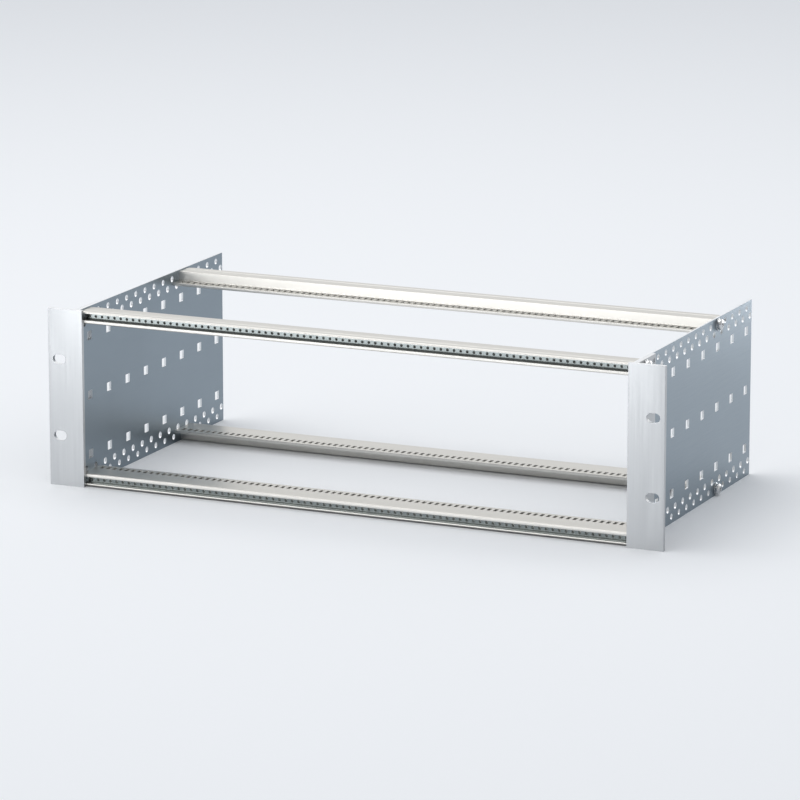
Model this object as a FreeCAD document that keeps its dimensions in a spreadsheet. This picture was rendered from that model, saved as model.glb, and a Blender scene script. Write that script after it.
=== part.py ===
import FreeCAD, Part
import math
import os
import Sketcher

# Open 19-inch card cage, three rack units high and 84 card pitches wide, in millimetres.
# The origin is the centre of the four rack slots, on the front face of the rack flanges.
# X runs along the rails, the front faces -Y and Z is up.

SIZES = [
    ("card_pitch", 5.08, "from one card position to the next"),
    ("card_positions", 84, "card positions, panel threads and guide slots"),
    ("end_room", 2.89, "from the outermost card position's edge to the side plate"),
    ("height", 132.5, "side plates and rack flanges"),
    ("plate_thick", 1.5, "side plate"),
    ("grid_pitch", 15, "between the hole columns of a side plate"),
    ("grid_columns", 15, "hole columns of a side plate"),
    ("rear_margin", 11, "from the last hole column to the rear edge"),
    ("rail_columns", 10, "hole columns from the front rails' screws to the rear rails'"),
    ("inner_row_gap", 6.4, "from the screw row to the row of larger holes"),
    ("inner_hole", 5, "holes of the inner rows"),
    ("window_size", 6.5, "square windows"),
    ("window_inset", 21.8, "from the plate's long edge to the outer window rows"),
    ("flange_thick", 3, "rack flange, the face that is bolted to the rack"),
    ("flange_lap", 2.75, "how far the flange reaches in over the rails' ends"),
    ("ear_width", 21.05, "flange outside its leg"),
    ("leg_thick", 2.5, "leg of the rack flange, outside the side plate"),
    ("leg_margin", 4, "leg behind its last hole column"),
    ("slot_setback", 8.75, "from the flange's outer edge to the rack slots"),
    ("slot_inset", 37.675, "from the flange's short edge to the rack slots"),
    ("slot_length", 10.3, "rack slot, end to end"),
    ("slot_width", 6.8, "rack slot, for an M6 screw"),
    ("rail_inset", 1, "from the side plate's long edge to the rail's outer face"),
    ("screw_setback", 14, "from the rail's grooved face to its screw channel"),
    ("block_back", 3, "thick part of the rail behind the screw channel's centre"),
    ("shelf_depth", 11, "thin part of the rail, which card guides clip to"),
    ("shelf_thick", 2.1, "thin part of the rail"),
    ("shelf_chamfer", 0.4, "along the free edge of the shelf"),
    ("lip_depth", 4.5, "lips in front of the groove"),
    ("lip_catch", 0.5, "how far each lip reaches over the groove"),
    ("groove_depth", 3.2, "groove behind the lips"),
    ("groove_height", 6, "groove behind the lips"),
    ("inner_wall", 2, "from the groove to the face towards the cards"),
    ("outer_wall", 1, "from the groove to the outer face"),
    ("nose_chamfer", 0.6, "along the front edges of the rail"),
    ("score_setback", 6.3, "from the grooved face to the score line on the outer face"),
    ("score_depth", 0.4, "score line, twice as wide as deep"),
    ("guide_slot_width", 2.6, "along the rail"),
    ("guide_slot_length", 6.4, "front to rear"),
    ("guide_slot_setback", 6.2, "from the free edge of the shelf to the middle of a slot"),
    ("strip_clearance", 0.1, "between threaded strip and groove, on each side"),
    ("panel_thread", 2.1, "core of an M2.5 thread"),
    ("shank", 3.9, "M4 rail screw"),
    ("shank_length", 12, "below the head"),
    ("channel_clearance", 0.1, "rail's screw channel, over the shank"),
    ("hole_clearance", 0.5, "holes in side plate and leg, over the shank"),
    ("bore_clearance", 0.4, "washer, over the shank"),
    ("head", 8, "pan head"),
    ("head_height", 3.1, "pan head"),
    ("crown_height", 1.1, "sloped part of the head"),
    ("crown_inset", 1.5, "how far the crown draws in"),
    ("washer", 9, "plain washer"),
    ("washer_thick", 0.8, "plain washer"),
]

# Sizes that follow from others. A name after $ is one from the list above.
HALF_INSIDE = "($card_positions * $card_pitch / 2 + $end_room)"
PLATE_OUTSIDE = "(%s + $plate_thick)" % HALF_INSIDE
LEG_OUTSIDE = "(%s + $leg_thick)" % PLATE_OUTSIDE
FLANGE_OUTSIDE = "(%s + $ear_width)" % LEG_OUTSIDE
PLATE_DEPTH = "($screw_setback + ($grid_columns - 1) * $grid_pitch + $rear_margin)"
BLOCK_DEPTH = "($screw_setback + $block_back)"
RAIL_DEPTH = "(%s + $shelf_depth)" % BLOCK_DEPTH
RAIL_INNER_FACE = "($groove_height / 2 + $inner_wall)"
RAIL_OUTER_FACE = "($groove_height / 2 + $outer_wall)"
SCREW_RISE = "($height / 2 - $rail_inset - %s)" % RAIL_OUTER_FACE
FRONT_SCREWS = "($flange_thick + $screw_setback)"
REAR_SCREWS = "(%s + $rail_columns * $grid_pitch)" % FRONT_SCREWS
OUTER_HOLE = "($shank + $hole_clearance)"
FIRST_POSITION = "(-($card_positions - 1) * $card_pitch / 2)"

# Small round shapes that repeat are many-sided. A shank and the holes that it passes through
# have as many sides as each other, so that their corners line up.
THREAD_SIDES = 4
HOLE_SIDES = 6
HEAD_SIDES = 12

AS_DRAWN = FreeCAD.Rotation()
ABOUT_X = FreeCAD.Rotation(FreeCAD.Vector(1, 0, 0), 180)
ABOUT_Y = FreeCAD.Rotation(FreeCAD.Vector(0, 1, 0), 180)
ABOUT_Z = FreeCAD.Rotation(FreeCAD.Vector(0, 0, 1), 180)

doc = FreeCAD.newDocument("CardCage")
sheet = doc.addObject("Spreadsheet::Sheet", "Sizes")


def fill_sheet():
    """Puts the driving sizes in the sheet, one to a row."""
    for row, (alias, value, note) in enumerate(SIZES, start=1):
        sheet.set("A%d" % row, alias)
        sheet.set("B%d" % row, str(value))
        sheet.set("C%d" % row, note)
        sheet.setAlias("B%d" % row, alias)
    doc.recompute()


def named(expression):
    return expression.replace("$", "Sizes.")


def number(expression):
    """Works an expression out, so that a sketch is drawn where its ties will hold it."""
    return float(sheet.evalExpression(named(expression)))


def tie(thing, **settings):
    """Ties properties to expressions."""
    for name, expression in settings.items():
        thing.setExpression(name.replace("__", "."), named(expression))


def origin_feature(body, role):
    return next(item for item in body.Origin.OriginFeatures if item.Role == role)


def new_body(label, x="0", y="0", z="0", turn=AS_DRAWN):
    body = doc.addObject("PartDesign::Body", label)
    body.Placement = FreeCAD.Placement(FreeCAD.Vector(), turn)
    tie(body, Placement__Base__x=x, Placement__Base__y=y, Placement__Base__z=z)
    return body


def new_sketch(body, name, plane):
    sketch = body.newObject("Sketcher::SketchObject", name)
    sketch.AttachmentSupport = (origin_feature(body, plane), "")
    sketch.MapMode = "FlatFace"
    return sketch


def dimension(sketch, constraint, expression):
    """Adds a dimension to a sketch and ties it to an expression."""
    index = sketch.addConstraint(constraint)
    sketch.setExpression("Constraints[%d]" % index, named(expression))


def place(sketch, element, point, across, up):
    """Ties a point of an element to a place in the sketch."""
    for kind, expression in (("DistanceX", across), ("DistanceY", up)):
        constraint = Sketcher.Constraint(kind, -1, 1, element, point, number(expression))
        dimension(sketch, constraint, expression)


def outline(sketch, corners):
    """Draws a closed outline of straight lines through its corners."""
    first = sketch.GeometryCount
    count = len(corners)
    points = [FreeCAD.Vector(number(across), number(up), 0) for across, up in corners]
    for i in range(count):
        sketch.addGeometry(Part.LineSegment(points[i], points[(i + 1) % count]))
    for i in range(count):
        follower = first + (i + 1) % count
        sketch.addConstraint(Sketcher.Constraint("Coincident", first + i, 2, follower, 1))
    for i, (across, up) in enumerate(corners):
        place(sketch, first + i, 1, across, up)


def rectangle(sketch, across, up, width, rise):
    """Draws a rectangle about its centre."""
    left = "%s - %s / 2" % (across, width)
    right = "%s + %s / 2" % (across, width)
    low = "%s - %s / 2" % (up, rise)
    high = "%s + %s / 2" % (up, rise)
    outline(sketch, [(left, low), (right, low), (right, high), (left, high)])


def circle(sketch, across, up, diameter):
    centre = FreeCAD.Vector(number(across), number(up), 0)
    radius = number(diameter) / 2
    index = sketch.addGeometry(Part.Circle(centre, FreeCAD.Vector(0, 0, 1), radius))
    place(sketch, index, 3, across, up)
    dimension(sketch, Sketcher.Constraint("Radius", index, radius), "%s / 2" % diameter)


def level_slot(sketch, across, up, length, width):
    """Draws a slot with round ends about its centre."""
    left = "%s - (%s - %s) / 2" % (across, length, width)
    right = "%s + (%s - %s) / 2" % (across, length, width)
    low = "%s - %s / 2" % (up, width)
    high = "%s + %s / 2" % (up, width)
    corners = [(left, low), (right, low), (right, high), (left, high)]
    points = [FreeCAD.Vector(number(x), number(y), 0) for x, y in corners]
    radius = number(width) / 2
    middle = number(up)
    right_tip = FreeCAD.Vector(points[1].x + radius, middle, 0)
    left_tip = FreeCAD.Vector(points[0].x - radius, middle, 0)
    bottom = sketch.addGeometry(Part.LineSegment(points[0], points[1]))
    right_end = sketch.addGeometry(Part.Arc(points[1], right_tip, points[2]))
    top = sketch.addGeometry(Part.LineSegment(points[2], points[3]))
    left_end = sketch.addGeometry(Part.Arc(points[3], left_tip, points[0]))
    ring = [bottom, right_end, top, left_end]
    for element, follower in zip(ring, ring[1:] + ring[:1]):
        sketch.addConstraint(Sketcher.Constraint("Coincident", element, 2, follower, 1))
    for line, start, end in ((bottom, 0, 1), (top, 2, 3)):
        place(sketch, line, 1, *corners[start])
        place(sketch, line, 2, *corners[end])
    for arc, centre in ((right_end, right), (left_end, left)):
        constraint = Sketcher.Constraint("DistanceX", -1, 1, arc, 3, number(centre))
        dimension(sketch, constraint, centre)


def pad(body, sketch, length, side="One side", reverse=False):
    feature = body.newObject("PartDesign::Pad", sketch.Name + "_pad")
    feature.Profile = sketch
    feature.SideType = side
    feature.Reversed = reverse
    tie(feature, Length=length)


def cut_through(body, sketch):
    """Cuts through the whole body, to both sides of the sketch."""
    feature = body.newObject("PartDesign::Pocket", sketch.Name + "_cut")
    feature.Profile = sketch
    feature.SideType = "Symmetric"
    feature.Type = "ThroughAll"
    return feature


def prism(body, name, kind, plane, sides, width, length, across="0", up="0", start="0"):
    """Adds or removes a many-sided bar that stands square on one of the body's planes."""
    feature = body.newObject("PartDesign::%sPrism" % kind, name)
    feature.AttachmentSupport = (origin_feature(body, plane), "")
    feature.MapMode = "FlatFace"
    feature.Polygon = sides
    tie(
        feature,
        Circumradius="%s / 2" % width,
        Height=length,
        AttachmentOffset__Base__x=across,
        AttachmentOffset__Base__y=up,
        AttachmentOffset__Base__z=start,
    )
    return feature


def repeat(body, feature, axis, pitch, count, rows=1, rise=None):
    """Repeats a feature along an axis, in a number of rows spread over a rise along Z."""
    pattern = body.newObject("PartDesign::LinearPattern", feature.Name + "_row")
    pattern.Originals = [feature]
    pattern.Direction = (origin_feature(body, axis), [""])
    pattern.Mode = "Spacing"
    tie(pattern, Offset=pitch, Occurrences=count)
    if rows > 1:
        pattern.Direction2 = (origin_feature(body, "Z_Axis"), [""])
        pattern.Mode2 = "Extent"
        pattern.Occurrences2 = rows
        tie(pattern, Length2=rise)
    body.Tip = pattern


def make_side_plate(label, x):
    """Flat plate with two rows of holes along each long edge and three rows of windows."""
    body = new_body(label, x=x, y="$flange_thick")
    blank = new_sketch(body, label + "_blank", "YZ_Plane")
    rectangle(blank, PLATE_DEPTH + " / 2", "0", PLATE_DEPTH, "$height")
    pad(body, blank, "$plate_thick")

    screw_hole = prism(
        body, label + "_screw_hole", "Subtractive", "YZ_Plane", HOLE_SIDES, OUTER_HOLE,
        "$plate_thick", across="$screw_setback", up="-" + SCREW_RISE,
    )
    repeat(
        body, screw_hole, "Y_Axis", "$grid_pitch", "$grid_columns",
        rows=2, rise="2 * " + SCREW_RISE,
    )

    inner_rise = "(%s - $inner_row_gap)" % SCREW_RISE
    inner_hole = prism(
        body, label + "_inner_hole", "Subtractive", "YZ_Plane", HOLE_SIDES, "$inner_hole",
        "$plate_thick", across="$screw_setback - $grid_pitch / 2", up="-" + inner_rise,
    )
    repeat(
        body, inner_hole, "Y_Axis", "$grid_pitch", "$grid_columns + 1",
        rows=2, rise="2 * " + inner_rise,
    )

    window_rise = "($height / 2 - $window_inset)"
    window = new_sketch(body, label + "_window", "YZ_Plane")
    rectangle(window, "$screw_setback", "-" + window_rise, "$window_size", "$window_size")
    repeat(
        body, cut_through(body, window), "Y_Axis", "2 * $grid_pitch",
        "floor(($grid_columns + 1) / 2)", rows=3, rise="2 * " + window_rise,
    )


def make_rack_flange(label, turn):
    """Angle with a face that is bolted to the rack and a leg outside the side plate."""
    body = new_body(label, turn=turn)
    face_inside = HALF_INSIDE + " - $flange_lap"
    leg_end = "$flange_thick + $screw_setback + $grid_pitch + $leg_margin"
    angle = new_sketch(body, label + "_angle", "XY_Plane")
    outline(angle, [
        (face_inside, "0"),
        (FLANGE_OUTSIDE, "0"),
        (FLANGE_OUTSIDE, "$flange_thick"),
        (LEG_OUTSIDE, "$flange_thick"),
        (LEG_OUTSIDE, leg_end),
        (PLATE_OUTSIDE, leg_end),
        (PLATE_OUTSIDE, "$flange_thick"),
        (face_inside, "$flange_thick"),
    ])
    pad(body, angle, "$height", side="Symmetric")

    slots = new_sketch(body, label + "_rack_slots", "XZ_Plane")
    slot_x = FLANGE_OUTSIDE + " - $slot_setback"
    slot_rise = "($height / 2 - $slot_inset)"
    level_slot(slots, slot_x, slot_rise, "$slot_length", "$slot_width")
    level_slot(slots, slot_x, "-" + slot_rise, "$slot_length", "$slot_width")
    cut_through(body, slots)

    leg_hole = prism(
        body, label + "_leg_hole", "Subtractive", "YZ_Plane", HOLE_SIDES, OUTER_HOLE,
        "$leg_thick", across=FRONT_SCREWS, up="-" + SCREW_RISE, start=PLATE_OUTSIDE,
    )
    repeat(body, leg_hole, "Y_Axis", "$grid_pitch", "2", rows=2, rise="2 * " + SCREW_RISE)


def make_rail(label, y, z, turn, slotted):
    """Extruded rail: a grooved face with two lips, a block with a screw channel, and a thin
    shelf for the card guides. Local Y runs from the grooved face to the shelf's free edge."""
    body = new_body(label, y=y, z=z, turn=turn)
    groove_top = "$groove_height / 2"
    lip_top = "($groove_height / 2 - $lip_catch)"
    groove_end = "$lip_depth + $groove_depth"
    shelf_top = "$shelf_thick - " + RAIL_INNER_FACE
    section = new_sketch(body, label + "_section", "YZ_Plane")
    outline(section, [
        ("0", lip_top),
        ("0", RAIL_OUTER_FACE + " - $nose_chamfer"),
        ("$nose_chamfer", RAIL_OUTER_FACE),
        ("$score_setback - $score_depth", RAIL_OUTER_FACE),
        ("$score_setback", RAIL_OUTER_FACE + " - $score_depth"),
        ("$score_setback + $score_depth", RAIL_OUTER_FACE),
        (BLOCK_DEPTH, RAIL_OUTER_FACE),
        (BLOCK_DEPTH, shelf_top),
        (RAIL_DEPTH + " - $shelf_chamfer", shelf_top),
        (RAIL_DEPTH, shelf_top + " - $shelf_chamfer"),
        (RAIL_DEPTH, "$shelf_chamfer - " + RAIL_INNER_FACE),
        (RAIL_DEPTH + " - $shelf_chamfer", "-" + RAIL_INNER_FACE),
        ("$nose_chamfer", "-" + RAIL_INNER_FACE),
        ("0", "$nose_chamfer - " + RAIL_INNER_FACE),
        ("0", "-" + lip_top),
        ("$lip_depth", "-" + lip_top),
        ("$lip_depth", "-" + groove_top),
        (groove_end, "-" + groove_top),
        (groove_end, groove_top),
        ("$lip_depth", groove_top),
        ("$lip_depth", lip_top),
    ])
    length = "2 * " + HALF_INSIDE
    pad(body, section, length, side="Symmetric")
    prism(
        body, label + "_screw_channel", "Subtractive", "YZ_Plane", HOLE_SIDES,
        "($shank + $channel_clearance)", length, across="$screw_setback", start="-" + HALF_INSIDE,
    )

    if slotted:
        guide_slot = new_sketch(body, label + "_guide_slot", "XY_Plane")
        rectangle(
            guide_slot, FIRST_POSITION, RAIL_DEPTH + " - $guide_slot_setback",
            "$guide_slot_width", "$guide_slot_length",
        )
        repeat(body, cut_through(body, guide_slot), "X_Axis", "$card_pitch", "$card_positions")


def make_threaded_strip(label, z):
    """Strip in a front rail's groove, with a panel thread at each card position. The two end
    threads, which hold a full-width panel, are round."""
    body = new_body(label, y="$flange_thick + $lip_depth + $strip_clearance", z=z)
    thick = "($groove_depth - 2 * $strip_clearance)"
    blank = new_sketch(body, label + "_blank", "XZ_Plane")
    rectangle(
        blank, "0", "0", "$card_positions * $card_pitch",
        "($groove_height - 2 * $strip_clearance)",
    )
    pad(body, blank, thick, reverse=True)

    ends = new_sketch(body, label + "_end_threads", "XZ_Plane")
    circle(ends, FIRST_POSITION, "0", "$panel_thread")
    circle(ends, "-" + FIRST_POSITION, "0", "$panel_thread")
    cut_through(body, ends)

    thread = prism(
        body, label + "_thread", "Subtractive", "XZ_Plane", THREAD_SIDES, "$panel_thread",
        thick, across=FIRST_POSITION + " + $card_pitch", start="-" + thick,
    )
    repeat(body, thread, "X_Axis", "$card_pitch", "$card_positions - 2")


def make_washer(label, x, y, z, turn):
    """Plain washer on local X, from zero outwards."""
    body = new_body(label, x, y, z, turn)
    prism(body, label + "_disc", "Additive", "YZ_Plane", HEAD_SIDES, "$washer", "$washer_thick")
    prism(
        body, label + "_bore", "Subtractive", "YZ_Plane", HOLE_SIDES,
        "($shank + $bore_clearance)", "$washer_thick",
    )


def make_screw(label, x, y, z, turn):
    """Pan-head screw on local X, with the underside of its head at zero."""
    body = new_body(label, x, y, z, turn)
    head = prism(
        body, label + "_head", "Additive", "YZ_Plane", HEAD_SIDES, "$head", "$head_height",
    )
    doc.recompute()
    faces = head.Shape.Faces
    end = max(range(len(faces)), key=lambda i: faces[i].CenterOfMass.x)
    crown = body.newObject("PartDesign::Chamfer", label + "_crown")
    crown.Base = (head, ["Face%d" % (end + 1)])
    crown.ChamferType = "Two distances"
    tie(crown, Size="$crown_inset", Size2="$crown_height")
    prism(
        body, label + "_shank", "Additive", "YZ_Plane", HOLE_SIDES, "$shank",
        "$shank_length", start="-$shank_length",
    )


def make_fasteners():
    """Puts a screw and a washer at each end of each rail. The front ones also hold the leg
    of the rack flange, so they sit further out."""
    for row, seat, y in (("front", LEG_OUTSIDE, FRONT_SCREWS), ("rear", PLATE_OUTSIDE, REAR_SCREWS)):
        for level, z in (("top", SCREW_RISE), ("bottom", "-" + SCREW_RISE)):
            for side, sign, turn in (("left", "-", ABOUT_Z), ("right", "", AS_DRAWN)):
                name = "%s_%s_%s" % (row, level, side)
                head_seat = "(%s + $washer_thick)" % seat
                make_washer("rail_washer_" + name, sign + seat, y, z, turn)
                make_screw("rail_screw_" + name, sign + head_seat, y, z, turn)


def make_rails():
    """Puts the four rails in place. The grooves of the front ones face forwards, those of
    the rear ones backwards, and the shelves of each pair face each other."""
    rear_face = "%s + $screw_setback" % REAR_SCREWS
    bottom = "-" + SCREW_RISE
    make_rail("rail_front_top", "$flange_thick", SCREW_RISE, AS_DRAWN, slotted=False)
    make_rail("rail_front_bottom", "$flange_thick", bottom, ABOUT_Y, slotted=True)
    make_rail("rail_rear_top", rear_face, SCREW_RISE, ABOUT_Z, slotted=False)
    make_rail("rail_rear_bottom", rear_face, bottom, ABOUT_X, slotted=True)


def check_features():
    """Stops where a feature failed or left its body as it was."""
    failed = [item.Label for item in doc.Objects if {"Invalid", "Error"} & set(item.State)]
    if failed:
        raise RuntimeError("these failed: " + ", ".join(failed))
    for body in doc.findObjects("PartDesign::Body"):
        steps = [item for item in body.Group if item.isDerivedFrom("PartDesign::Feature")]
        for before, after in zip(steps, steps[1:]):
            if abs(after.Shape.Volume - before.Shape.Volume) < 1e-6:
                raise RuntimeError(after.Label + " changed nothing")
        if body.Shape.isNull() or not body.Shape.isValid() or len(body.Shape.Solids) != 1:
            raise RuntimeError(body.Label + " is not one valid solid")


def export_pieces():
    os.makedirs("parts", exist_ok=True)
    for body in doc.findObjects("PartDesign::Body"):
        body.Shape.exportStep("parts/%s.step" % body.Label)


fill_sheet()
make_side_plate("side_plate_left", "-" + PLATE_OUTSIDE)
make_side_plate("side_plate_right", HALF_INSIDE)
make_rack_flange("rack_flange_left", ABOUT_Y)
make_rack_flange("rack_flange_right", AS_DRAWN)
make_rails()
make_threaded_strip("threaded_strip_top", SCREW_RISE)
make_threaded_strip("threaded_strip_bottom", "-" + SCREW_RISE)
make_fasteners()
doc.recompute()
check_features()
export_pieces()
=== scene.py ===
from math import cos, pi, radians, sin

import bmesh
import bpy
from bpy.props import FloatProperty, FloatVectorProperty, IntProperty, PointerProperty
from bpy.types import Operator, Panel, PropertyGroup
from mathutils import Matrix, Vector


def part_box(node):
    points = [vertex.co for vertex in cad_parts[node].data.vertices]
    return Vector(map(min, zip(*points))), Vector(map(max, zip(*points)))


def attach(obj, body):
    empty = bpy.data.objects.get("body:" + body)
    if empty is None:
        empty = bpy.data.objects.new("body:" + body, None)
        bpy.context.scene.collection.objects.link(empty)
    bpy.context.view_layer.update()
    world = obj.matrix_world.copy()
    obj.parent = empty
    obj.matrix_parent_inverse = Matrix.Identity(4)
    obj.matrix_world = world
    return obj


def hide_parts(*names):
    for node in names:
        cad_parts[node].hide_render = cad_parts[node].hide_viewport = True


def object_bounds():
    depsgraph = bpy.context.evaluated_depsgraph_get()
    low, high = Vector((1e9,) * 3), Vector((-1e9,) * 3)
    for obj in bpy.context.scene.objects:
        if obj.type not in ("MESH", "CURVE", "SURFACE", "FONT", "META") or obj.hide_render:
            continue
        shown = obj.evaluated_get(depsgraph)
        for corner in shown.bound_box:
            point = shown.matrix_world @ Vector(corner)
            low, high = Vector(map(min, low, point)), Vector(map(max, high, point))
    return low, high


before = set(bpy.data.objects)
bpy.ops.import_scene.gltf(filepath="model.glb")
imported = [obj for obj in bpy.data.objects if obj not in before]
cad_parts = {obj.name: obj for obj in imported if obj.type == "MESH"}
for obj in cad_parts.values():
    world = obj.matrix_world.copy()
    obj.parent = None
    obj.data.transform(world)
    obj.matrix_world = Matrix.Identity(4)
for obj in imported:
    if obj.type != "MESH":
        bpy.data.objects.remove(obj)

# The box of the solids alone, before any piece is made.
CAD_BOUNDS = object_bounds()

bl_info = {
    "name": "Card Cage",
    "version": (1, 0, 0),
    "blender": (4, 5, 0),
    "location": "3D View > Sidebar > Card Cage",
    "description": "Dresses an open 19-inch card cage for a product picture",
    "category": "Object",
}

# Turns that lay a shape drawn in the XY plane, and its thickness, along other axes.
ALONG_X = (pi / 2, 0, pi / 2)
ALONG_Y = (pi / 2, 0, 0)
ALONG_Z = (0, 0, 0)

# How many straight pieces make the quarter of a round hole.
ROUND_STEPS = 6

# The largest share of a side that a rounded corner takes.
CORNER_SHARE = 0.4

# Edges that turn by more than the first angle are broken. Faces that turn by less than the
# second blend into each other.
BEVEL_ANGLE = radians(50)
BLEND_ANGLE = radians(12)

# Seeds of the random angles at which the fasteners stopped turning.
RIGHT_SEED = 4
LEFT_SEED = 14

# A pan head's form, as shares of its radius or height: the radius of its underside, the
# heights where its edge and its crown start, and the powers that round the crown along and
# across the axis.
UNDERSIDE = 0.94
EDGE_START = 0.05
CROWN_START = 0.4
CROWN_POWERS = (0.85, 0.6)
CROWN_STEPS = 10

# The bottom of the cross recess, as shares of the arms' length and width at the top, and how
# far its cutter stands above the head.
RECESS_BOTTOM = (0.35, 0.6)
CUTTER_RISE = 0.0002

# The range that a noise seldom leaves.
NOISE_RANGE = (0.3, 0.7)

# The room in the metal's reflections is dimmer up to the first Y of the direction, towards
# the front, and at its full brightness from the second.
ROOM_TURN = (-0.3, 0.5)


def length_size(name, millimetres, description):
    return FloatProperty(
        name=name, description=description, default=millimetres / 1000,
        min=0, subtype="DISTANCE", unit="LENGTH", precision=5,
    )


def colour(name, value, description):
    return FloatVectorProperty(
        name=name, description=description, default=value, size=3, min=0, max=1, subtype="COLOR",
    )


def fraction(name, value, description):
    return FloatProperty(
        name=name, description=description, default=value, min=0, max=1, subtype="FACTOR",
    )


def copies(name, value, description):
    return IntProperty(name=name, description=description, default=value, min=2)


def angle(name, degrees, description):
    return FloatProperty(
        name=name, description=description, default=radians(degrees), subtype="ANGLE",
    )


def lamp_power(name, watts, description):
    return FloatProperty(name=name, description=description, default=watts, min=0, unit="POWER")


class CardCageSizes(PropertyGroup):
    """Sizes of the details. Where the pieces lie comes from the frame."""
    edge: length_size("Edge", 0.15, "Broken edges of sheet and holes")
    card_pitch: length_size("Card pitch", 5.08, "From one card position to the next")
    card_positions: copies("Card positions", 84, "Threads and guide slots")
    grid_pitch: length_size("Hole pitch", 15, "Between the hole columns of a side plate")
    grid_columns: copies("Hole columns", 15, "Hole columns of a side plate")
    screw_setback: length_size("Screw setback", 14, "From a rail's grooved face to its screws")
    screw_rise: length_size("Screw rise", 61.25, "Screws and panel threads above the middle")
    screw_hole: length_size("Screw hole", 4.4, "Holes for the rail screws")
    inner_rise: length_size("Inner row rise", 54.85, "Rows of larger holes above the middle")
    inner_hole: length_size("Inner hole", 5, "Larger holes")
    window: length_size("Window", 6.5, "Square windows of the side plate")
    window_rise: length_size("Window rise", 44.45, "From one window row to the next")
    punch_corner: length_size("Punch corner", 0.5, "Corners of the windows and guide slots")
    flange_thick: length_size("Flange", 3, "Rack flange, the face bolted to the rack")
    leg_thick: length_size("Leg", 2.5, "Leg of the rack flange")
    rack_slot_x: length_size("Rack slots", 232.55, "Rack slots from the middle of the cage")
    rack_slot_rise: length_size("Rack slot rise", 28.575, "Rack slots above the middle")
    rack_slot_length: length_size("Rack slot length", 10.3, "End to end")
    rack_slot_width: length_size("Rack slot width", 6.8, "For M6 rack screws")
    block_depth: length_size("Rail block", 17, "Thick part of the rail")
    shelf_thick: length_size("Rail shelf", 2.1, "Thin part of the rail")
    lip_depth: length_size("Lips", 4.5, "Lips in front of the rail's groove")
    lip_opening: length_size("Lip opening", 5, "Between the lips")
    groove_depth: length_size("Groove depth", 3.2, "Groove behind the lips")
    groove_height: length_size("Groove height", 6, "Groove behind the lips")
    score_setback: length_size("Score setback", 6.3, "From the grooved face to the score line")
    score_depth: length_size("Score depth", 0.4, "Score line on the rail's outer face")
    nose: length_size("Nose", 0.6, "Broken front edges of the rail")
    guide_slot_width: length_size("Guide slot width", 2.6, "Along the rail")
    guide_slot_length: length_size("Guide slot length", 6.4, "Front to rear")
    guide_slot_setback: length_size("Guide slot setback", 6.2, "From the rail's free edge to the slots")
    panel_thread: length_size("Panel thread", 2.1, "Core of an M2.5 thread")
    shank: length_size("Shank", 3.9, "M4 rail screw")
    tip_chamfer: length_size("Tip chamfer", 0.585, "Tip of the rail screw")
    bore_clearance: length_size("Bore clearance", 0.4, "Washer's bore over the shank")
    recess_arm: length_size("Recess arm", 2.2, "Cross recess, from the middle to an arm's end")
    recess_width: length_size("Recess width", 1, "Arms of the cross recess")
    recess_depth: length_size("Recess depth", 1.9, "Cross recess")


class CardCageFinish(PropertyGroup):
    """Colours and roughness of the metals."""
    sheet: colour("Sheet", (0.24, 0.288, 0.33), "Side plates")
    sheet_roughness: fraction("Sheet roughness", 0.36, "Side plates")
    flange: colour("Flange", (0.47, 0.483, 0.495), "Rack flanges")
    flange_roughness: fraction("Flange roughness", 0.33, "Rack flanges")
    rail: colour("Rail", (0.62, 0.61, 0.58), "Rails")
    rail_roughness: fraction("Rail roughness", 0.36, "Rails")
    cut: colour("Cut edges", (0.82, 0.84, 0.86), "Cut edges and hole walls of the aluminium")
    plated: colour("Plated steel", (0.225, 0.25, 0.25), "Threaded strips")
    plated_roughness: fraction("Plated steel roughness", 0.24, "Threaded strips")
    screw: colour("Screw", (0.6, 0.61, 0.62), "Rail screws and washers")
    screw_roughness: fraction("Screw roughness", 0.2, "Rail screws and washers")


class CardCageStage(PropertyGroup):
    """Where the camera stands and how bright the studio is."""
    azimuth: angle("Azimuth", 24.06, "Camera to the right of the front")
    elevation: angle("Elevation", 12.934, "Camera above the level")
    distance: length_size("Distance", 3606.7, "From the camera to the aim point")
    aim: FloatVectorProperty(
        name="Aim", description="Point that the camera looks at", default=(-0.02348, 0.14299, -0.01251),
        size=3, subtype="TRANSLATION", unit="LENGTH",
    )
    lens: FloatProperty(
        name="Lens", description="Focal length on a 36 mm wide sensor", default=218.73, min=1,
        subtype="DISTANCE_CAMERA", unit="CAMERA",
    )
    backdrop: colour("Backdrop", (0.94, 0.94, 0.94), "Floor and background")
    floor_reach: length_size("Floor reach", 15000, "From the middle to the floor's edges")
    ambient: colour("Ambient", (0.89, 0.935, 1.0), "Tint of the light from all around")
    ambient_strength: fraction("Ambient strength", 0.64, "Light from all around")
    room: fraction("Room", 0.55, "Brightness of the room behind the camera, next to the backdrop")
    top: lamp_power("Top lamp", 36, "Large lamp above")
    front: lamp_power("Front lamp", 9, "In front, for the flanges and screws")
    upper_rail: lamp_power("Upper rail lamp", 1.2, "Low in front, for the upper front rail")
    lower_rail: lamp_power("Lower rail lamp", 2.3, "Low in front, for the lower front rail")
    inner: lamp_power("Inner lamp", 4, "In front, for the upper rear rail")
    side: lamp_power("Side lamp", 2.2, "At the rear right, for the right plate and the screws")


def add_node(tree, kind, inputs=None, **settings):
    """Adds a node, sets it up, and gives its inputs values or links."""
    node = tree.nodes.new(kind)
    for name, value in settings.items():
        setattr(node, name, value)
    for name, value in (inputs or {}).items():
        if isinstance(value, bpy.types.NodeSocket):
            tree.links.new(value, node.inputs[name])
        else:
            node.inputs[name].default_value = value
    return node


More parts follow.
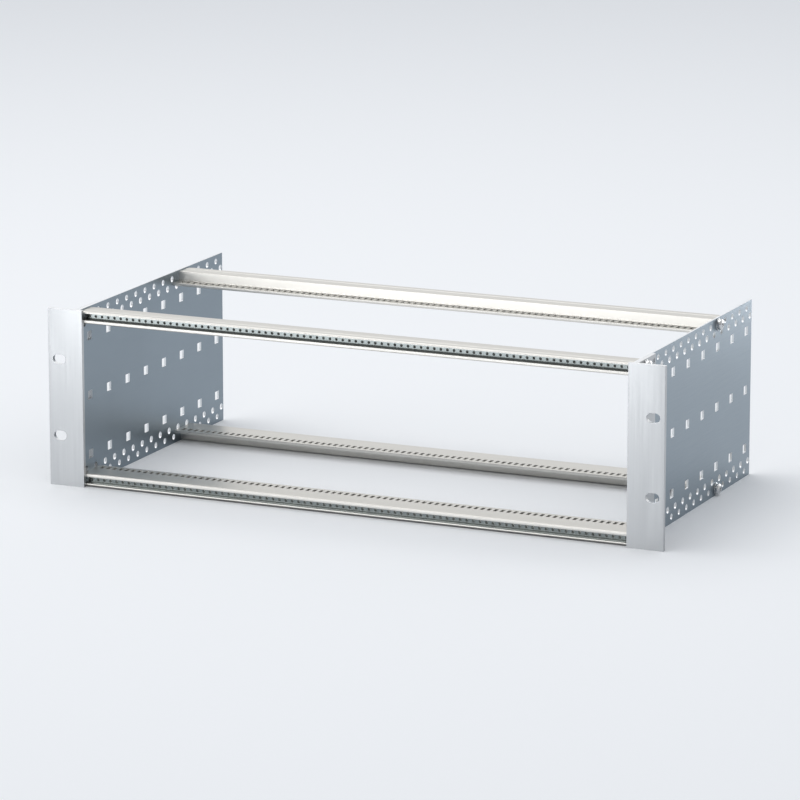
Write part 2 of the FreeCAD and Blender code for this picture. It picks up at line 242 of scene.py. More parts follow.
def new_shape_tree(name, inputs):
    """Starts a geometry tree with named inputs. Returns the tree and its input node."""
    tree = bpy.data.node_groups.new(name, "GeometryNodeTree")
    tree.interface.new_socket(name="Geometry", in_out="INPUT", socket_type="NodeSocketGeometry")
    for label, kind in inputs:
        tree.interface.new_socket(name=label, in_out="INPUT", socket_type="NodeSocket" + kind)
    tree.interface.new_socket(name="Geometry", in_out="OUTPUT", socket_type="NodeSocketGeometry")
    return tree, tree.nodes.new("NodeGroupInput")


def end_tree(tree, geometry):
    output = tree.nodes.new("NodeGroupOutput")
    tree.links.new(geometry, output.inputs["Geometry"])


def make_thick_shape_tree():
    """A closed outline in the XY plane, filled and made thick along Z."""
    tree, given = new_shape_tree("Thick shape", [("Thickness", "Float")])
    fill = add_node(tree, "GeometryNodeFillCurve", {"Curve": given.outputs["Geometry"]}, mode="NGONS")
    raised = add_node(tree, "GeometryNodeExtrudeMesh", {
        "Mesh": fill.outputs["Mesh"],
        "Offset": (0, 0, 1),
        "Offset Scale": given.outputs["Thickness"],
        "Individual": False,
    })
    bottom = add_node(tree, "GeometryNodeFlipFaces", {"Mesh": fill.outputs["Mesh"]})
    join = tree.nodes.new("GeometryNodeJoinGeometry")
    tree.links.new(raised.outputs["Mesh"], join.inputs["Geometry"])
    tree.links.new(bottom.outputs["Mesh"], join.inputs["Geometry"])
    merge = add_node(tree, "GeometryNodeMergeByDistance", {
        "Geometry": join.outputs["Geometry"],
        "Distance": 1e-6,
    })
    end_tree(tree, merge.outputs["Geometry"])
    return tree


# What a group of like punches is given: a punch's size, corners and turn, where the first one
# stands, the step and count along a row, and the step and count of the rows.
PUNCH_INPUTS = [
    ("Size", "Vector"),
    ("Corner", "Float"),
    ("Turn", "Vector"),
    ("Start", "Vector"),
    ("Step", "Vector"),
    ("Count", "Int"),
    ("Row Step", "Vector"),
    ("Rows", "Int"),
]


def add_punches(tree, given, thick_shape, name):
    """Adds the tools that punch one group of like holes. Returns their geometry."""
    def value(label):
        return given.outputs["%s %s" % (name, label)]

    size = add_node(tree, "ShaderNodeSeparateXYZ", {"Vector": value("Size")})
    square = add_node(tree, "GeometryNodeCurvePrimitiveQuadrilateral", {
        "Width": size.outputs["X"],
        "Height": size.outputs["Y"],
    })
    filleted = add_node(tree, "GeometryNodeFilletCurve", {
        "Curve": square.outputs["Curve"],
        "Count": ROUND_STEPS,
        "Radius": value("Corner"),
        "Limit Radius": True,
    }, mode="POLY")
    tool = add_node(tree, "GeometryNodeGroup", node_tree=thick_shape)
    tree.links.new(filleted.outputs["Curve"], tool.inputs["Geometry"])
    tree.links.new(size.outputs["Z"], tool.inputs["Thickness"])
    half = add_node(tree, "ShaderNodeMath", {0: size.outputs["Z"], 1: -0.5}, operation="MULTIPLY")
    drop = add_node(tree, "ShaderNodeCombineXYZ", {"Z": half.outputs["Value"]})
    centred = add_node(tree, "GeometryNodeTransform", {
        "Geometry": tool.outputs["Geometry"],
        "Translation": drop.outputs["Vector"],
    })
    column = add_node(tree, "GeometryNodeMeshLine", {
        "Count": value("Rows"),
        "Offset": value("Row Step"),
    }, mode="OFFSET")
    row = add_node(tree, "GeometryNodeMeshLine", {
        "Count": value("Count"),
        "Start Location": value("Start"),
        "Offset": value("Step"),
    }, mode="OFFSET")
    grid = add_node(tree, "GeometryNodeInstanceOnPoints", {
        "Points": row.outputs["Mesh"],
        "Instance": column.outputs["Mesh"],
    })
    places = add_node(tree, "GeometryNodeRealizeInstances", {"Geometry": grid.outputs["Instances"]})
    turn = add_node(tree, "FunctionNodeEulerToRotation", {"Euler": value("Turn")})
    punches = add_node(tree, "GeometryNodeInstanceOnPoints", {
        "Points": places.outputs["Geometry"],
        "Instance": centred.outputs["Geometry"],
        "Rotation": turn.outputs["Rotation"],
    })
    real = add_node(tree, "GeometryNodeRealizeInstances", {"Geometry": punches.outputs["Instances"]})
    return real.outputs["Geometry"]


def make_punched_tree(name, thick_shape, punch_names):
    """A section made long, laid along an axis, and punched with groups of like holes."""
    inputs = [("Length", "Float"), ("Turn", "Vector"), ("Place", "Vector"), ("Material", "Material")]
    inputs += [("%s %s" % (punch, label), kind) for punch in punch_names for label, kind in PUNCH_INPUTS]
    tree, given = new_shape_tree(name, inputs)
    blank = add_node(tree, "GeometryNodeGroup", node_tree=thick_shape)
    tree.links.new(given.outputs["Geometry"], blank.inputs["Geometry"])
    tree.links.new(given.outputs["Length"], blank.inputs["Thickness"])
    turn = add_node(tree, "FunctionNodeEulerToRotation", {"Euler": given.outputs["Turn"]})
    laid = add_node(tree, "GeometryNodeTransform", {
        "Geometry": blank.outputs["Geometry"],
        "Rotation": turn.outputs["Rotation"],
        "Translation": given.outputs["Place"],
    })
    cut = add_node(tree, "GeometryNodeMeshBoolean", {"Mesh 1": laid.outputs["Geometry"]},
                   operation="DIFFERENCE", solver="MANIFOLD")
    for punch in punch_names:
        tree.links.new(add_punches(tree, given, thick_shape, punch), cut.inputs["Mesh 2"])
    real = add_node(tree, "GeometryNodeRealizeInstances", {"Geometry": cut.outputs["Mesh"]})
    finished = add_node(tree, "GeometryNodeSetMaterial", {
        "Geometry": real.outputs["Geometry"],
        "Material": given.outputs["Material"],
    })
    end_tree(tree, finished.outputs["Geometry"])
    return tree


def make_fastener_tree():
    """One fastener on X, put at both ends of every rail, each turned by a random angle."""
    tree, given = new_shape_tree("Fasteners", [
        ("Front Seat", "Vector"), ("Rear Seat", "Vector"), ("Drop", "Vector"), ("Material", "Material"),
    ])
    pair = add_node(tree, "GeometryNodeMeshLine", {
        "Count": 2,
        "Start Location": given.outputs["Front Seat"],
        "Offset": given.outputs["Rear Seat"],
    }, mode="END_POINTS")
    lower = add_node(tree, "GeometryNodeTransform", {
        "Geometry": pair.outputs["Mesh"],
        "Translation": given.outputs["Drop"],
    })
    right = tree.nodes.new("GeometryNodeJoinGeometry")
    tree.links.new(pair.outputs["Mesh"], right.inputs["Geometry"])
    tree.links.new(lower.outputs["Geometry"], right.inputs["Geometry"])
    left = add_node(tree, "GeometryNodeTransform", {
        "Geometry": right.outputs["Geometry"],
        "Scale": (-1, 1, 1),
    })
    both = tree.nodes.new("GeometryNodeJoinGeometry")
    for points, about_z, seed in ((right, 0, RIGHT_SEED), (left, pi, LEFT_SEED)):
        stop = add_node(tree, "FunctionNodeRandomValue", {
            "Seed": seed,
            2: 0,
            3: 2 * pi,
        }, data_type="FLOAT")
        euler = add_node(tree, "ShaderNodeCombineXYZ", {"X": stop.outputs[1], "Z": about_z})
        turn = add_node(tree, "FunctionNodeEulerToRotation", {"Euler": euler.outputs["Vector"]})
        placed = add_node(tree, "GeometryNodeInstanceOnPoints", {
            "Points": points.outputs["Geometry"],
            "Instance": given.outputs["Geometry"],
            "Rotation": turn.outputs["Rotation"],
        })
        tree.links.new(placed.outputs["Instances"], both.inputs["Geometry"])
    real = add_node(tree, "GeometryNodeRealizeInstances", {"Geometry": both.outputs["Geometry"]})
    finished = add_node(tree, "GeometryNodeSetMaterial", {
        "Geometry": real.outputs["Geometry"],
        "Material": given.outputs["Material"],
    })
    end_tree(tree, finished.outputs["Geometry"])
    return tree


def shared_tree(name, maker, *details):
    """Finds a tree by name, or makes it."""
    found = bpy.data.node_groups.get(name)
    return found or maker(*details)


def punched_tree(name, punch_names):
    thick_shape = shared_tree("Thick shape", make_thick_shape_tree)
    return shared_tree(name, make_punched_tree, name, thick_shape, punch_names)


def link(thing):
    bpy.context.scene.collection.objects.link(thing)
    return thing


def section_object(name, corners, radius):
    """A closed outline in the XY plane, with its corners rounded, as a curve object."""
    curve = bpy.data.curves.new(name, "CURVE")
    curve.dimensions = "2D"
    curve.fill_mode = "NONE"
    points = rounded(corners, radius)
    spline = curve.splines.new("POLY")
    spline.points.add(len(points) - 1)
    for point, (x, y) in zip(spline.points, points):
        point.co = (x, y, 0, 1)
    spline.use_cyclic_u = True
    return link(bpy.data.objects.new(name, curve))


def rounded(corners, radius, steps=3):
    """Rounds each corner of an outline, or less where a side is short."""
    points = []
    for i, corner in enumerate(corners):
        here = Vector(corner)
        back = Vector(corners[i - 1]) - here
        on = Vector(corners[(i + 1) % len(corners)]) - here
        reach = min(radius, back.length * CORNER_SHARE, on.length * CORNER_SHARE)
        start = here + back.normalized() * reach
        end = here + on.normalized() * reach
        for k in range(steps + 1):
            t = k / steps
            points.append(start * (1 - t) ** 2 + here * 2 * t * (1 - t) + end * t ** 2)
    return points


def finish_shape(source, name, tree, values, bevel):
    """Runs the tree on the source object and keeps the result as a plain mesh."""
    build = source.modifiers.new("Build", "NODES")
    build.node_group = tree
    for item in tree.interface.items_tree:
        if item.in_out == "INPUT" and item.name in values:
            build[item.identifier] = values[item.name]
    result = evaluated_mesh(source)
    bpy.data.objects.remove(source)
    result.name = name
    piece = link(bpy.data.objects.new(name, result))
    if bevel:
        edge = piece.modifiers.new("Edge", "BEVEL")
        edge.width = bevel
        edge.segments = 2
        edge.limit_method = "ANGLE"
        edge.angle_limit = BEVEL_ANGLE
        bevelled = evaluated_mesh(piece)
        piece.modifiers.clear()
        piece.data = bevelled
        bevelled.name = name
    if not piece.data.polygons:
        raise RuntimeError(name + " came out empty")
    for face in piece.data.polygons:
        face.use_smooth = True
    piece.data.set_sharp_from_angle(angle=BLEND_ANGLE)
    return piece


def evaluated_mesh(thing):
    bpy.context.view_layer.update()
    graph = bpy.context.evaluated_depsgraph_get()
    return bpy.data.meshes.new_from_object(thing.evaluated_get(graph))


def punch(name, size, turn, start, step=(0, 0, 0), count=1, row_step=(0, 0, 0), rows=1, corner=0.0):
    """Input values for one group of punches. A punch is at least twice as long as its hole."""
    values = (size, corner, turn, start, step, count, row_step, rows)
    return {"%s %s" % (name, label): value for (label, kind), value in zip(PUNCH_INPUTS, values)}


def keep(piece, material_slot, *nodes):
    """Puts a finished piece in its CAD nodes' place."""
    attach(piece, "root")
    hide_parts(*nodes)


def mirrored(corners, sign):
    return [(sign * x, y) for x, y in corners]


def lathe(name, profile, segments=40):
    """Turns a profile of (place on X, radius) about X into a closed mesh."""
    shape = bmesh.new()
    rings = []
    for along, radius in profile:
        if radius == 0:
            rings.append([shape.verts.new((along, 0, 0))])
            continue
        turns = [2 * pi * i / segments for i in range(segments)]
        rings.append([shape.verts.new((along, radius * cos(t), radius * sin(t))) for t in turns])
    for ring, follower in zip(rings, rings[1:]):
        for i in range(segments):
            corners = [ring[i % len(ring)], ring[(i + 1) % len(ring)]]
            corners += [follower[(i + 1) % len(follower)], follower[i % len(follower)]]
            unique = list(dict.fromkeys(corners))
            shape.faces.new(unique)
    if len(rings[0]) > 1 and len(rings[-1]) > 1:
        for i in range(segments):
            j = (i + 1) % segments
            shape.faces.new([rings[-1][i], rings[-1][j], rings[0][j], rings[0][i]])
    bmesh.ops.recalc_face_normals(shape, faces=shape.faces)
    mesh = bpy.data.meshes.new(name)
    shape.to_mesh(mesh)
    shape.free()
    return link(bpy.data.objects.new(name, mesh))


def new_material(name):
    material = bpy.data.materials.new(name)
    material.use_nodes = True
    return material, material.node_tree.nodes["Principled BSDF"]


def stretched_noise(tree, place, scale, detail):
    """Noise with a scale of its own along each axis, in marks per metre."""
    mapping = add_node(tree, "ShaderNodeMapping", {"Vector": place, "Scale": scale})
    noise = add_node(tree, "ShaderNodeTexNoise", {
        "Vector": mapping.outputs["Vector"],
        "Scale": 1.0,
        "Detail": detail,
        "Roughness": 0.6,
    })
    return noise.outputs["Fac"]


def spread(tree, value, low, high):
    """Maps the range that a noise seldom leaves to another."""
    mapped = add_node(tree, "ShaderNodeMapRange", {
        "Value": value,
        "From Min": NOISE_RANGE[0],
        "From Max": NOISE_RANGE[1],
        "To Min": low,
        "To Max": high,
    })
    return mapped.outputs["Result"]


def facing(tree, axis, on_axis, elsewhere):
    """One value on faces square to the axis, another on the rest, and a short blend between."""
    normal = tree.nodes.new("ShaderNodeNewGeometry").outputs["True Normal"]
    across = add_node(tree, "ShaderNodeVectorMath", {0: normal, 1: axis}, operation="DOT_PRODUCT")
    size = add_node(tree, "ShaderNodeMath", {0: across.outputs["Value"]}, operation="ABSOLUTE")
    mapped = add_node(tree, "ShaderNodeMapRange", {
        "Value": size.outputs["Value"],
        "From Min": 0.4,
        "From Max": 0.6,
        "To Min": elsewhere,
        "To Max": on_axis,
    })
    return mapped.outputs["Result"]


def metal(name, tint, roughness, grain, cloud, tone, sheen_spread, bump, cut=None):
    """Metal with straight grain and a cloudy tone. Grain and cloud are marks per metre along
    each axis, tone is how far the colour strays, sheen_spread how far the roughness does, and
    bump the grain's height in metres. Cut is the colour of bare cut edges, and the axis and
    two values that tell them apart."""
    material, shader = new_material(name)
    tree = material.node_tree
    place = tree.nodes.new("ShaderNodeTexCoord").outputs["Object"]
    fine = stretched_noise(tree, place, grain, 4.0)
    broad = stretched_noise(tree, place, cloud, 3.0)
    both = add_node(tree, "ShaderNodeMix", {"Factor": 0.5, "A": fine, "B": broad}, data_type="FLOAT")
    level = spread(tree, both.outputs["Result"], 1 - tone, 1 + tone)
    base = add_node(tree, "ShaderNodeVectorMath", {0: tint, "Scale": level}, operation="SCALE")
    coloured = base.outputs["Vector"]
    if cut:
        bare, axis, on_axis, elsewhere = cut
        mixed = add_node(tree, "ShaderNodeMix", {
            "Factor": facing(tree, axis, on_axis, elsewhere),
            6: coloured,
            7: (*bare, 1),
        }, data_type="RGBA")
        coloured = mixed.outputs[2]
    tree.links.new(coloured, shader.inputs["Base Color"])
    tree.links.new(
        spread(tree, fine, roughness - sheen_spread, roughness + sheen_spread),
        shader.inputs["Roughness"],
    )
    relief = add_node(tree, "ShaderNodeBump", {"Height": fine, "Strength": 0.3, "Distance": bump})
    tree.links.new(relief.outputs["Normal"], shader.inputs["Normal"])
    shader.inputs["Metallic"].default_value = 1.0
    return material


def sheet_metal(finish):
    return metal(
        "Sheet aluminium", finish.sheet, finish.sheet_roughness,
        grain=(400, 30, 900), cloud=(12, 12, 12), tone=0.05, sheen_spread=0.05, bump=0.00002,
        cut=(finish.cut, (1, 0, 0), 0, 1),
    )


def flange_metal(finish):
    return metal(
        "Anodised flange", finish.flange, finish.flange_roughness,
        grain=(900, 900, 14), cloud=(20, 20, 8), tone=0.04, sheen_spread=0.03, bump=0.00001,
        cut=(finish.cut, (0, 0, 1), 1, 0),
    )


def rail_metal(finish):
    return metal(
        "Anodised rail", finish.rail, finish.rail_roughness,
        grain=(6, 1500, 1500), cloud=(8, 60, 60), tone=0.05, sheen_spread=0.05, bump=0.00002,
    )


def plated_metal(finish):
    return metal(
        "Plated strip", finish.plated, finish.plated_roughness,
        grain=(300, 300, 300), cloud=(40, 90, 90), tone=0.03, sheen_spread=0.03, bump=0.00001,
    )


def screw_metal(finish):
    return metal(
        "Plated screw", finish.screw, finish.screw_roughness,
        grain=(900, 900, 900), cloud=(150, 150, 150), tone=0.06, sheen_spread=0.06, bump=0.00001,
    )


def shared_material(name, maker):
    return bpy.data.materials.get(name) or maker(bpy.context.scene.card_cage_finish)


class CARDCAGE_OT_side_plates(Operator):
    """Makes the two side plates with their holes and windows"""
    bl_idname = "card_cage.side_plates"
    bl_label = "Side Plates"

    def execute(self, context):
        sizes = context.scene.card_cage_sizes
        material = shared_material("Sheet aluminium", sheet_metal)
        tree = punched_tree("Punched plate", ["Screw Hole", "Inner Hole", "Window"])
        for side in ("left", "right"):
            node = "side_plate_" + side
            low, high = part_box(node)
            thick = high.x - low.x
            through = 4 * thick
            middle = (low.x + high.x) / 2
            first = low.y + sizes.screw_setback
            corners = [(low.y, low.z), (high.y, low.z), (high.y, high.z), (low.y, high.z)]
            values = {"Length": thick, "Turn": ALONG_X, "Place": (low.x, 0, 0), "Material": material}
            values |= punch(
                "Screw Hole", (sizes.screw_hole, sizes.screw_hole, through), ALONG_X,
                (middle, first, -sizes.screw_rise), (0, sizes.grid_pitch, 0), sizes.grid_columns,
                (0, 0, 2 * sizes.screw_rise), 2, corner=sizes.screw_hole / 2,
            )
            values |= punch(
                "Inner Hole", (sizes.inner_hole, sizes.inner_hole, through), ALONG_X,
                (middle, first - sizes.grid_pitch / 2, -sizes.inner_rise), (0, sizes.grid_pitch, 0),
                sizes.grid_columns + 1, (0, 0, 2 * sizes.inner_rise), 2, corner=sizes.inner_hole / 2,
            )
            values |= punch(
                "Window", (sizes.window, sizes.window, through), ALONG_X,
                (middle, first, -sizes.window_rise), (0, 2 * sizes.grid_pitch, 0),
                (sizes.grid_columns + 1) // 2, (0, 0, sizes.window_rise), 3, corner=sizes.punch_corner,
            )
            source = section_object(node, corners, sizes.edge)
            piece = finish_shape(source, "punched_" + node, tree, values, sizes.edge)
            keep(piece, "side_plate", node)
        return {"FINISHED"}


class CARDCAGE_OT_rack_flanges(Operator):
    """Makes the two rack flanges with their slots and leg holes"""
    bl_idname = "card_cage.rack_flanges"
    bl_label = "Rack Flanges"

    def execute(self, context):
        sizes = context.scene.card_cage_sizes
        material = shared_material("Anodised flange", flange_metal)
        tree = punched_tree("Punched flange", ["Rack Slot", "Leg Hole"])
        low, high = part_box("rack_flange_right")
        leg_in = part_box("side_plate_right")[1].x
        leg_out = leg_in + sizes.leg_thick
        face = low.y + sizes.flange_thick
        for side, sign in (("left", -1), ("right", 1)):
            node = "rack_flange_" + side
            corners = mirrored([
                (low.x, low.y), (high.x, low.y), (high.x, face), (leg_out, face),
                (leg_out, high.y), (leg_in, high.y), (leg_in, face), (low.x, face),
            ], sign)
            leg_middle = sign * (leg_in + leg_out) / 2
            values = {
                "Length": high.z - low.z, "Turn": ALONG_Z, "Place": (0, 0, low.z), "Material": material,
            }
            values |= punch(
                "Rack Slot", (sizes.rack_slot_length, sizes.rack_slot_width, 4 * sizes.flange_thick),
                ALONG_Y, (sign * sizes.rack_slot_x, low.y, -sizes.rack_slot_rise),
                row_step=(0, 0, 2 * sizes.rack_slot_rise), rows=2, corner=sizes.rack_slot_width / 2,
            )
            values |= punch(
                "Leg Hole", (sizes.screw_hole, sizes.screw_hole, 2 * sizes.leg_thick), ALONG_X,
                (leg_middle, face + sizes.screw_setback, -sizes.screw_rise), (0, sizes.grid_pitch, 0), 2,
                (0, 0, 2 * sizes.screw_rise), 2, corner=sizes.screw_hole / 2,
            )
            source = section_object(node, corners, 2 * sizes.edge)
            piece = finish_shape(source, "punched_" + node, tree, values, sizes.edge)
            keep(piece, "rack_flange", node)
        return {"FINISHED"}


def rail_section(sizes, depth, inside, outside):
    """Corners of the rail's section: across from the grooved face, up from the groove."""
    opening = sizes.lip_opening / 2
    groove = sizes.groove_height / 2
    groove_end = sizes.lip_depth + sizes.groove_depth
    shelf = sizes.shelf_thick - inside
    return [
        (0, opening),
        (0, outside - sizes.nose),
        (sizes.nose, outside),
        (sizes.score_setback - sizes.score_depth, outside),
        (sizes.score_setback, outside - sizes.score_depth),
        (sizes.score_setback + sizes.score_depth, outside),
        (sizes.block_depth, outside),
        (sizes.block_depth, shelf),
        (depth, shelf),
        (depth, -inside),
        (sizes.nose, -inside),
        (0, sizes.nose - inside),
        (0, -opening),
        (sizes.lip_depth, -opening),
        (sizes.lip_depth, -groove),
        (groove_end, -groove),
        (groove_end, groove),
        (sizes.lip_depth, groove),
        (sizes.lip_depth, opening),
    ]


class CARDCAGE_OT_rails(Operator):
    """Makes the four slotted rails"""
    bl_idname = "card_cage.rails"
    bl_label = "Rails"

    def execute(self, context):
        sizes = context.scene.card_cage_sizes
        material = shared_material("Anodised rail", rail_metal)
        tree = punched_tree("Slotted rail", ["Guide Slot", "Screw Channel"])
        for row, faces in (("front", -1), ("rear", 1)):
            for level, up in (("top", 1), ("bottom", -1)):
                node = "rail_%s_%s" % (row, level)
                low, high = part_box(node)
                depth = high.y - low.y
                inner = low.z if up > 0 else high.z
                outer = high.z if up > 0 else low.z
                inside = sizes.screw_rise - up * inner
                outside = up * outer - sizes.screw_rise
                grooved = low.y if faces < 0 else high.y
                corners = [
                    (grooved - faces * across, up * (sizes.screw_rise + rise))
                    for across, rise in rail_section(sizes, depth, inside, outside)
                ]
                slot_y = grooved - faces * (depth - sizes.guide_slot_setback)
                first = -(sizes.card_positions - 1) * sizes.card_pitch / 2
                values = {
                    "Length": high.x - low.x, "Turn": ALONG_X, "Place": (low.x, 0, 0),
                    "Material": material,
                }
                values |= punch(
                    "Guide Slot", (sizes.guide_slot_width, sizes.guide_slot_length, 3 * sizes.shelf_thick),
                    ALONG_Z, (first, slot_y, inner), (sizes.card_pitch, 0, 0), sizes.card_positions,
                    corner=sizes.punch_corner,
                )
                values |= punch(
                    "Screw Channel", (sizes.shank, sizes.shank, 2 * (high.x - low.x)), ALONG_X,
                    (0, grooved - faces * sizes.screw_setback, up * sizes.screw_rise),
                    corner=sizes.shank / 2,
                )
                source = section_object(node, corners, sizes.edge)
                piece = finish_shape(source, "slotted_" + node, tree, values, sizes.edge)
                keep(piece, "rail", node)
        return {"FINISHED"}


class CARDCAGE_OT_threaded_strips(Operator):
    """Makes the threaded strips in the front rails"""
    bl_idname = "card_cage.threaded_strips"
    bl_label = "Threaded Strips"

    def execute(self, context):
        sizes = context.scene.card_cage_sizes
        material = shared_material("Plated strip", plated_metal)
        tree = punched_tree("Threaded strip", ["Thread"])
        for level in ("top", "bottom"):
            node = "threaded_strip_" + level
            low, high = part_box(node)
            corners = [(low.y, low.z), (high.y, low.z), (high.y, high.z), (low.y, high.z)]
            first = -(sizes.card_positions - 1) * sizes.card_pitch / 2
            values = {
                "Length": high.x - low.x, "Turn": ALONG_X, "Place": (low.x, 0, 0), "Material": material,
            }
            values |= punch(
                "Thread", (sizes.panel_thread, sizes.panel_thread, 4 * (high.y - low.y)), ALONG_Y,
                (first, (low.y + high.y) / 2, (low.z + high.z) / 2), (sizes.card_pitch, 0, 0),
                sizes.card_positions, corner=sizes.panel_thread / 2,
            )
            source = section_object(node, corners, sizes.edge)
            piece = finish_shape(source, "fine_" + node, tree, values, sizes.edge)
            keep(piece, "threaded_strip", node)
        return {"FINISHED"}


def fastener_nodes(kind):
    places = [(row, level, side) for row in ("front", "rear") for level in ("top", "bottom")
              for side in ("left", "right")]
    return ["%s_%s_%s_%s" % (kind, *place) for place in places]


def fastener_seats(kind, height):
    """Seats of the upper right fasteners, a height inside of their outer faces, and the step
    down to the lower ones."""
    seats = []
    for row in ("front", "rear"):
        low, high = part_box("%s_%s_top_right" % (kind, row))
        seats.append((high.x - height, (low.y + high.y) / 2, (low.z + high.z) / 2))
    return {"Front Seat": seats[0], "Rear Seat": seats[1], "Drop": (0, 0, -2 * seats[0][2])}


class CARDCAGE_OT_washers(Operator):
    """Makes the washers under the rail screws"""
    bl_idname = "card_cage.washers"
    bl_label = "Washers"

    def execute(self, context):
        sizes = context.scene.card_cage_sizes
        material = shared_material("Plated screw", screw_metal)
        low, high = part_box("rail_washer_front_top_right")
        thick = high.x - low.x
        radius = (high.y - low.y) / 2
        bore = (sizes.shank + sizes.bore_clearance) / 2
        edge = sizes.edge
        source = lathe("washer", [
            (0, bore), (0, radius - edge), (edge, radius), (thick - edge, radius),
            (thick, radius - edge), (thick, bore + edge), (thick - edge, bore),
        ])
        tree = shared_tree("Fasteners", make_fastener_tree)
        values = fastener_seats("rail_washer", thick) | {"Material": material}
        piece = finish_shape(source, "rail_washers", tree, values, 0)
        keep(piece, "rail_washer", *fastener_nodes("rail_washer"))
        return {"FINISHED"}


def cross_cutter(sizes, top):
    """Two crossed arms that narrow towards the bottom of the recess."""
    arm_share, width_share = RECESS_BOTTOM
    levels = [
        (top + CUTTER_RISE, sizes.recess_arm, sizes.recess_width / 2),
        (top - sizes.recess_depth, sizes.recess_arm * arm_share, sizes.recess_width / 2 * width_share),
    ]
    shape = bmesh.new()
    for turned in (False, True):
        layers = []
        for along, arm, width in levels:
            flat = [(-arm, -width), (arm, -width), (arm, width), (-arm, width)]
            layers.append([shape.verts.new((along, y, z) if turned else (along, -z, y)) for y, z in flat])
        upper, lower = layers
        shape.faces.new(upper)
        shape.faces.new(reversed(lower))
        for i in range(4):
            shape.faces.new([upper[i], lower[i], lower[(i + 1) % 4], upper[(i + 1) % 4]])
    bmesh.ops.recalc_face_normals(shape, faces=shape.faces)
    mesh = bpy.data.meshes.new("cross_cutter")
    shape.to_mesh(mesh)
    shape.free()
    return link(bpy.data.objects.new("cross_cutter", mesh))


class CARDCAGE_OT_rail_screws(Operator):
    """Makes the pan-head screws that hold the rails"""
    bl_idname = "card_cage.rail_screws"
    bl_label = "Rail Screws"

    def execute(self, context):
        sizes = context.scene.card_cage_sizes
        material = shared_material("Plated screw", screw_metal)
        low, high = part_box("rail_screw_front_top_right")
        washer_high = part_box("rail_washer_front_top_right")[1]
        tip = low.x - washer_high.x
        top = high.x - washer_high.x
        radius = (high.y - low.y) / 2
        crown = top * CROWN_START
        along, across = CROWN_POWERS
        shank = sizes.shank / 2
        chamfer = sizes.tip_chamfer
        profile = [(tip, 0), (tip, shank - chamfer), (tip + chamfer, shank), (0, shank)]
        profile += [(0, radius * UNDERSIDE), (top * EDGE_START, radius)]
        for k in range(CROWN_STEPS):
            t = k / CROWN_STEPS * pi / 2
            profile.append((crown + (top - crown) * sin(t) ** along, radius * cos(t) ** across))
        profile.append((top, 0))
        blank = lathe("screw", profile)
        cutter = cross_cutter(sizes, top)
        cut = blank.modifiers.new("Recess", "BOOLEAN")
        cut.object = cutter
        cut.operation = "DIFFERENCE"
        cut.solver = "EXACT"
        cut.use_self = True
        recessed = evaluated_mesh(blank)
        blank.modifiers.clear()
        blank.data = recessed
        bpy.data.objects.remove(cutter)
        tree = shared_tree("Fasteners", make_fastener_tree)
        values = fastener_seats("rail_screw", top) | {"Material": material}
        piece = finish_shape(blank, "rail_screws", tree, values, 0)
        keep(piece, "rail_screw", *fastener_nodes("rail_screw"))
        return {"FINISHED"}


# Pieces that lamps near the cage are kept for.
FLANGES = ["punched_rack_flange_left", "punched_rack_flange_right"]
SCREWS = ["rail_screws", "rail_washers"]
UPPER_FRONT_RAIL = ["slotted_rail_front_top", "fine_threaded_strip_top"]
LOWER_FRONT_RAIL = ["slotted_rail_front_bottom", "fine_threaded_strip_bottom"]
UPPER_REAR_RAIL = ["slotted_rail_rear_top"]
RIGHT_PLATE = ["punched_side_plate_right"]

# Where a lamp stands, the point it faces, and its width and height, in metres.
ABOVE = ((-0.6, 0.3, 2.6), (0, 0.1, 0), (3.0, 2.5))
IN_FRONT = ((-0.4, -0.75, 0.2), (-0.3, 0, 0.2), (1.0, 0.35))
LOW_IN_FRONT = ((-0.25, -0.5, -0.02), (-0.1, 0, -0.02), (1.3, 0.08))
REAR_RIGHT = ((0.43, 0.95, 0.1), (0.3, 0.1, 0.1), (0.35, 0.3))


def add_lamp(name, stand, watts, lit=None):
    """An area lamp. With a list of pieces it lights only those, so the floor stays even."""
    place, aim, size = stand
    data = bpy.data.lights.new(name, "AREA")
    data.shape = "RECTANGLE"
    data.size, data.size_y = size
    data.energy = watts
    lamp = link(bpy.data.objects.new(name, data))
    lamp.location = place
    lamp.rotation_euler = (Vector(aim) - Vector(place)).to_track_quat("-Z", "Y").to_euler()
    lamp.visible_camera = False
    if lit:
        pieces = bpy.data.collections.new("Lit by the " + name.lower())
        for piece in lit:
            pieces.objects.link(bpy.data.objects[piece])
        lamp.light_linking.receiver_collection = pieces


def seen_directly(tree, path):
    """True for what the camera sees, directly or in metal and glass."""
    shiny = add_node(tree, "ShaderNodeMath", {
        0: path.outputs["Is Glossy Ray"],
        1: path.outputs["Is Transmission Ray"],
    }, operation="MAXIMUM")
    seen = add_node(tree, "ShaderNodeMath", {
        0: path.outputs["Is Camera Ray"],
        1: shiny.outputs["Value"],
    }, operation="MAXIMUM")
    return seen.outputs["Value"]


